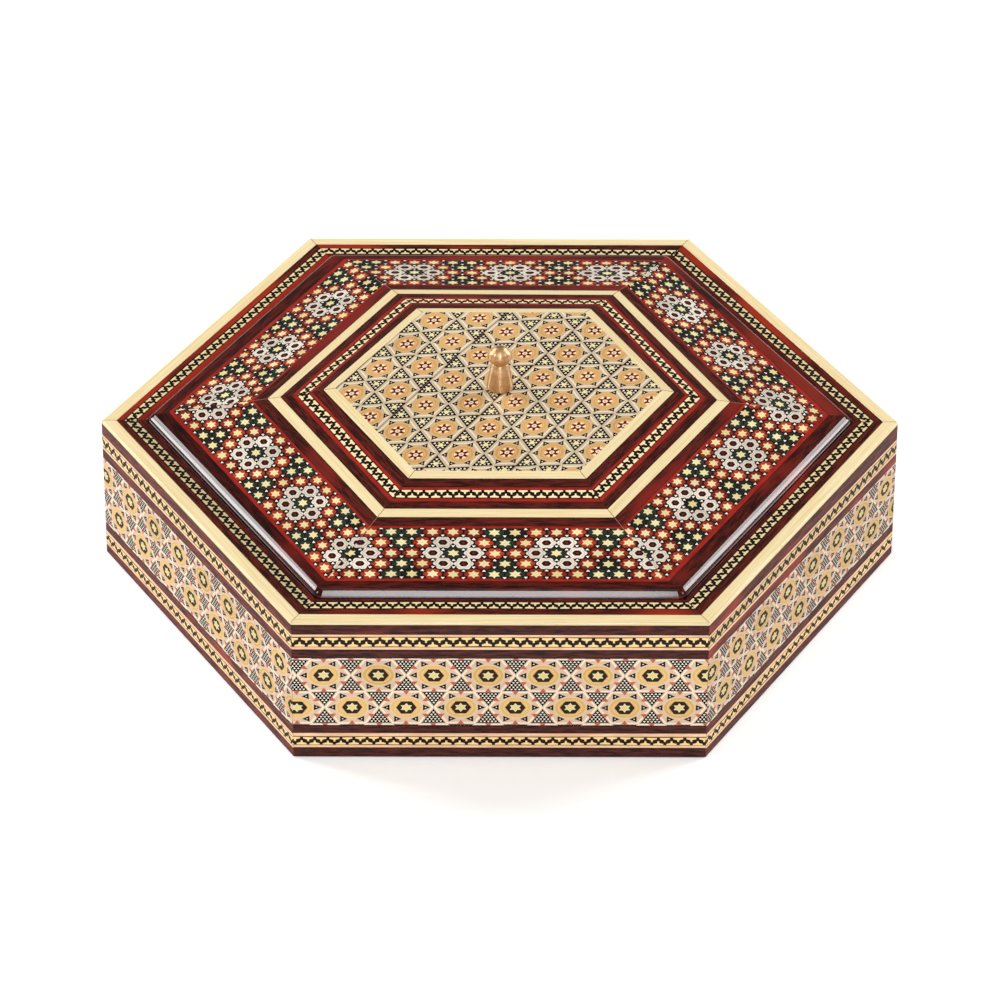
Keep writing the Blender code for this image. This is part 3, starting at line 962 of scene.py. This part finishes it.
def make_lid(slope_finish, top_finish, plain_finish):
    """The lid: six mitred sides of one profile, whose plan corners grow rounder toward the edge."""
    stretches = lid_profile()
    profile = profile_of(*stretches)
    counts = [len(stretch) for stretch in stretches]
    reach = profile[:, 0]
    share = np.clip((reach - LID_ROUNDING_START) / (LID_REACH - LID_ROUNDING_START), 0, 1)
    rounding = np.minimum(0.15 * MM + LID_CORNER_ROUND * share ** 2 * (3 - 2 * share), reach * 0.5)
    starts = profile[:-1, 0]
    ends = profile[1:, 0]
    on_top = (np.arange(len(profile)) < counts[0] + counts[1])[:, None]
    stretch_finish = np.full(len(profile) - 1, 2)
    stretch_finish[:counts[0] - 1] = 1
    stretch_finish[counts[0] - 1:sum(counts[:3])] = 0
    points, faces, uvs, sheets = [], [], [], []
    for side in range(6):
        true_along, true_reach, up = side_surface(profile, rounding, 0.0, 13, 6)
        along, reached = hand_set(side, true_along, true_reach, on_top)
        quads, uv, sheet = side_uv(side, along, true_along, (starts, ends), False)
        faces.append(quads + side * along.size)
        points.append(side_points(side, along, reached, up).reshape(-1, 3))
        uvs.append(uv.reshape(-1, 2))
        sheets.append(sheet.reshape(-1, 2))
    columns = along.shape[1]
    face_finish = np.tile(np.repeat(stretch_finish, columns - 1), 6)
    lid = new_piece("inlaid_lid", np.concatenate(points), np.concatenate(faces),
                    [slope_finish, top_finish, plain_finish], face_finish,
                    np.concatenate(uvs), np.concatenate(sheets))
    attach(lid, "root")
    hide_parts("lid")


def knob_profile():
    """Radius and height up the knob: a foot arc, a skirt that thins to the neck as
    neck + (skirt - neck) share^FLARE_POWER, then a flattened ball."""
    seat = KNOB_BOX[0].z - 0.25 * MM
    foot = arc((SKIRT_RADIUS - SKIRT_FOOT, SKIRT_FOOT), SKIRT_FOOT, -90, 0, 8)
    share = np.linspace(1, 0, 28)[1:] ** 2
    flare = NECK_RADIUS + (SKIRT_RADIUS - NECK_RADIUS) * share ** FLARE_POWER
    skirt = np.stack([flare, SKIRT_FOOT + (NECK_HEIGHT - SKIRT_FOOT) * (1 - share)], 1)
    neck_angle = -acos(NECK_RADIUS / BALL_RADIUS)
    angles = np.linspace(neck_angle, pi / 2, 26)
    ball_middle = NECK_HEIGHT - BALL_HALF_HEIGHT * sin(neck_angle)
    ball = np.stack([BALL_RADIUS * np.cos(angles), ball_middle + BALL_HALF_HEIGHT * np.sin(angles)], 1)
    ball[-1, 0] = 0.0
    profile = np.concatenate([[(0.0, 0.0)], foot, skirt, ball[1:]])
    profile[:, 1] = np.minimum(profile[:, 1] + seat, KNOB_BOX[1].z)
    return profile


def make_knob(finish):
    """The knob's profile turned round the axis."""
    profile = knob_profile()
    turns = np.linspace(0, 2 * pi, 97)
    radius = profile[:, :1]
    points = np.stack([radius * np.cos(turns), radius * np.sin(turns),
                       np.repeat(profile[:, 1:], len(turns), axis=1)], -1)
    faces = grid_quads(len(profile), len(turns))
    knob = new_piece("brass_knob", points.reshape(-1, 3), faces, [finish])
    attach(knob, "root")
    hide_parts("knob")


# Camera, from the rim and base corners in the photograph
CAMERA_ELEVATION = 34.524
CAMERA_AZIMUTH = -0.190
CAMERA_ROLL = 0.231
CAMERA_DISTANCE = 2.23306
CAMERA_TARGET = Vector((0.2 * MM, 0.0, 24.5 * MM))
FOCAL_PIXELS = 5878.69
IMAGE_PIXELS = 1000
SENSOR_WIDTH = 36.0


def make_camera():
    """A camera on a sphere round its target, rolled a little about its own view."""
    elevation = radians(CAMERA_ELEVATION)
    azimuth = radians(CAMERA_AZIMUTH)
    roll = radians(CAMERA_ROLL)
    back = Vector((sin(azimuth) * cos(elevation), -cos(azimuth) * cos(elevation), sin(elevation)))
    right = Vector((cos(azimuth), sin(azimuth), 0))
    above = back.cross(right)
    rolled_right = cos(roll) * right + sin(roll) * above
    rolled_above = -sin(roll) * right + cos(roll) * above
    lens = bpy.data.cameras.new("photo_camera")
    lens.sensor_width = SENSOR_WIDTH
    lens.lens = FOCAL_PIXELS * SENSOR_WIDTH / IMAGE_PIXELS
    lens.clip_start = 0.05
    lens.clip_end = 50
    camera = bpy.data.objects.new("photo_camera", lens)
    turn = Matrix((rolled_right, rolled_above, back)).transposed().to_4x4()
    camera.matrix_world = Matrix.Translation(CAMERA_TARGET + back * CAMERA_DISTANCE) @ turn
    bpy.context.scene.collection.objects.link(camera)
    bpy.context.scene.camera = camera


DISH_MIDDLE = (0, 0, 0.05)


def soft_light(name, place, aim, width, height, power):
    """A rectangle of light in metres and watts, turned to face what it is aimed at."""
    lamp = bpy.data.lights.new(name, "AREA")
    lamp.shape = "RECTANGLE"
    lamp.size = width
    lamp.size_y = height
    lamp.energy = power
    light = bpy.data.objects.new(name, lamp)
    light.location = place
    light.rotation_euler = (Vector(aim) - Vector(place)).to_track_quat("-Z", "Y").to_euler()
    bpy.context.scene.collection.objects.link(light)


def make_lights():
    """A tall strip of light behind the camera, and softboxes at the sides and the front corners, draw the
    white lines along the lid's rounded edge. The wide soft panels behind the side ones spread those lines
    inward, and a weak one overhead fills the top. None stands where the lid's slope would mirror it."""
    soft_light("front_strip", (0.0, -2.34, 1.6), (0, -0.34, -0.3), 0.34, 4.25, 50)
    soft_light("overhead_panel", (0.0, 0.1, 2.2), DISH_MIDDLE, 1.0, 1.0, 1.8)
    soft_light("left_softbox", (-2.02, 0.8, 0.95), DISH_MIDDLE, 0.5, 1.1, 24)
    soft_light("right_softbox", (2.02, 0.8, 0.95), DISH_MIDDLE, 0.5, 1.1, 20)
    soft_light("left_soft_panel", (-1.28, 1.19, 1.45), DISH_MIDDLE, 1.05, 0.5, 12.5)
    soft_light("right_soft_panel", (1.28, 1.19, 1.45), DISH_MIDDLE, 1.05, 0.5, 12.5)
    soft_light("left_corner_softbox", (-1.75, -0.75, 1.5), DISH_MIDDLE, 0.6, 0.9, 12)
    soft_light("right_corner_softbox", (1.75, -0.75, 1.5), DISH_MIDDLE, 0.6, 0.9, 7)
    world = bpy.data.worlds.new("soft_room")
    world.use_nodes = True
    world.node_tree.nodes["Background"].inputs["Color"].default_value = (1.0, 1.0, 1.0, 1.0)
    world.node_tree.nodes["Background"].inputs["Strength"].default_value = 0.1
    bpy.context.scene.world = world


COVE_FLOOR = 2.9
COVE_WIDTH = 0.9
COVE_HEIGHT = 0.4


def make_stage(finish):
    """A pale floor that turns up into a low round wall: height = cove height * share^2 past the flat."""
    flat = np.linspace(0.05, COVE_FLOOR, 12)
    rise = np.linspace(COVE_FLOOR, COVE_FLOOR + COVE_WIDTH, 12)[1:]
    radius = np.concatenate([flat, rise])[:, None]
    share = np.clip((radius - COVE_FLOOR) / COVE_WIDTH, 0, 1)
    turns = np.linspace(0, 2 * pi, 65)
    up = np.repeat(COVE_HEIGHT * share ** 2, len(turns), axis=1)
    points = np.stack([radius * np.cos(turns), radius * np.sin(turns), up], -1).reshape(-1, 3)
    faces = [list(face) for face in grid_quads(len(radius), len(turns))]
    faces.append(list(range(len(turns) - 1)))
    floor = new_piece("pale_floor", points, faces, [finish])
    work = bmesh.new()
    work.from_mesh(floor.data)
    work.normal_update()
    if sum(face.normal.z for face in work.faces) < 0:
        bmesh.ops.reverse_faces(work, faces=work.faces)
    work.to_mesh(floor.data)
    work.free()


board = board_finish()
make_walls([wall_finish(), rim_finish(), board])
make_edging(edging_finish())
make_lid(lid_finish(), medallion_finish(), board)
make_knob(brass_finish())
floor_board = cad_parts["floor_board"]
floor_board.data.materials.clear()
floor_board.data.materials.append(board)
make_stage(stage_finish())
make_camera()
make_lights()
bpy.context.scene.view_settings.view_transform = "Standard"
